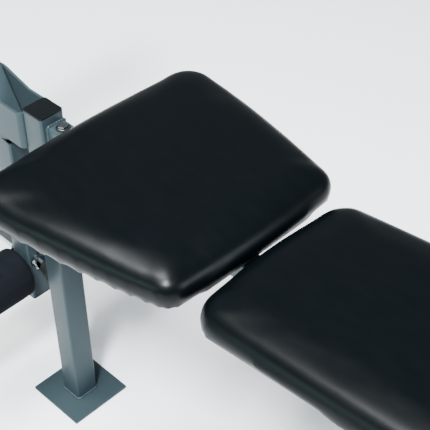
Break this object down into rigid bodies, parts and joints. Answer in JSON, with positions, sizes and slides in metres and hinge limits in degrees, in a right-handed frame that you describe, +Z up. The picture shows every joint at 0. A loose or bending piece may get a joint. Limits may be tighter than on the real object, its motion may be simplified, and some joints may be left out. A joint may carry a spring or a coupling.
{
  "type": "seated cable row",
  "caption": "Plate-loaded seated row bench: padded seat and long pad on a tube frame, a swinging leg lever with foam rollers at one end and a cable tower with a sliding carriage at the other.",
  "frame": {"origin": "middle of the underside of the front foot plate, on the floor", "axes": "+X along the bench from the front post to the cable tower, +Y across the bench, +Z up"},
  "size_m": [1.716, 0.6256, 1.37],
  "materials": {
    "silver_paint": "satin silver-grey powder coat with fine metallic flake",
    "chrome": "polished chrome plate",
    "zinc": "bright zinc plate",
    "black_plastic": "fine-grained moulded plastic",
    "foam": "matt closed-cell foam skin",
    "rubber": "matt moulded rubber",
    "vinyl": "smooth satin upholstery vinyl with a faint grain",
    "plywood": "bare plywood"
  },
  "bodies": {
    "frame": {"front_foot_plate": "silver_paint", "front_post": "silver_paint", "front_post_cap": "black_plastic", "seat_rail": "silver_paint", "seat_rail_bolt": "zinc", "long_rail": "silver_paint", "seat_strap_front": "silver_paint", "seat_strap_rear": "silver_paint", "back_strap_front": "silver_paint", "back_strap_rear": "silver_paint", "seat_board": "plywood", "seat_cushion": "vinyl", "back_board": "plywood", "back_cushion": "vinyl", "pivot_bracket": "silver_paint", "pivot_bolt": "zinc", "pivot_nut": "zinc", "base_beam": "silver_paint", "front_cross_foot": "silver_paint", "front_foot_cap_left": "black_plastic", "front_foot_cap_right": "black_plastic", "rear_cross_foot": "silver_paint", "rear_foot_cap_left": "black_plastic", "rear_foot_cap_right": "black_plastic", "column": "silver_paint", "guide_plate_low": "silver_paint", "guide_plate_high": "silver_paint", "guide_rod_left": "chrome", "guide_rod_right": "chrome", "carriage_stop": "rubber", "row_pulley_axle": "zinc", "row_pulley_fork": "silver_paint", "top_pulley_axle": "zinc", "top_pulley_fork": "silver_paint", "foot_bar": "silver_paint", "foot_plate_left": "silver_paint", "foot_plate_right": "silver_paint"},
    "leg_lever": {"lever_arm": "silver_paint", "lever_bush": "zinc", "lever_top_cap": "black_plastic", "lever_bottom_cap": "black_plastic", "lower_roller_shaft": "chrome", "lower_roller_cap_left": "black_plastic", "lower_roller_cap_right": "black_plastic", "upper_roller_shaft": "chrome", "upper_roller_cap_left": "black_plastic", "upper_roller_cap_right": "black_plastic", "lever_horn": "chrome", "bumper_stud": "chrome", "bumper": "rubber"},
    "lower_left_foam": {"lower_roller_left": "foam"},
    "lower_right_foam": {"lower_roller_right": "foam"},
    "upper_left_foam": {"upper_roller_left": "foam"},
    "upper_right_foam": {"upper_roller_right": "foam"},
    "carriage": {"carriage_frame": "silver_paint", "carriage_horn_left": "chrome", "carriage_horn_right": "chrome", "carriage_eye": "zinc"},
    "row_wheel": {"row_pulley": "black_plastic"},
    "top_wheel": {"top_pulley": "black_plastic"}
  },
  "joints": [
    {"name": "lever_swing", "type": "hinge", "parent": "frame", "child": "leg_lever", "pos_m": [-0.117, 0, 0.555], "axis": [0, 1, 0], "range_deg": [0, 75]},
    {"name": "carriage_lift", "type": "slide", "parent": "frame", "child": "carriage", "axis": [0, 0, 1], "range_m": [0, 0.8]},
    {"name": "lower_left_spin", "type": "hinge", "parent": "leg_lever", "child": "lower_left_foam", "pos_m": [-0.0857, 0, 0.236], "axis": [0, 1, 0], "continuous": true},
    {"name": "lower_right_spin", "type": "hinge", "parent": "leg_lever", "child": "lower_right_foam", "pos_m": [-0.0857, 0, 0.236], "axis": [0, 1, 0], "continuous": true},
    {"name": "upper_left_spin", "type": "hinge", "parent": "leg_lever", "child": "upper_left_foam", "pos_m": [-0.22028, 0, 0.74925], "axis": [0, 1, 0], "continuous": true},
    {"name": "upper_right_spin", "type": "hinge", "parent": "leg_lever", "child": "upper_right_foam", "pos_m": [-0.22028, 0, 0.74925], "axis": [0, 1, 0], "continuous": true},
    {"name": "row_wheel_spin", "type": "hinge", "parent": "frame", "child": "row_wheel", "pos_m": [1.11, 0, 0.74], "axis": [0, 1, 0], "continuous": true},
    {"name": "top_wheel_spin", "type": "hinge", "parent": "frame", "child": "top_wheel", "pos_m": [1.215, 0, 1.31], "axis": [0, 1, 0], "continuous": true}
  ],
  "couplings": [
    {"joint": "row_wheel_spin", "follows": "carriage_lift", "rad_per_m": 25.317},
    {"joint": "top_wheel_spin", "follows": "carriage_lift", "rad_per_m": -18.349}
  ]
}
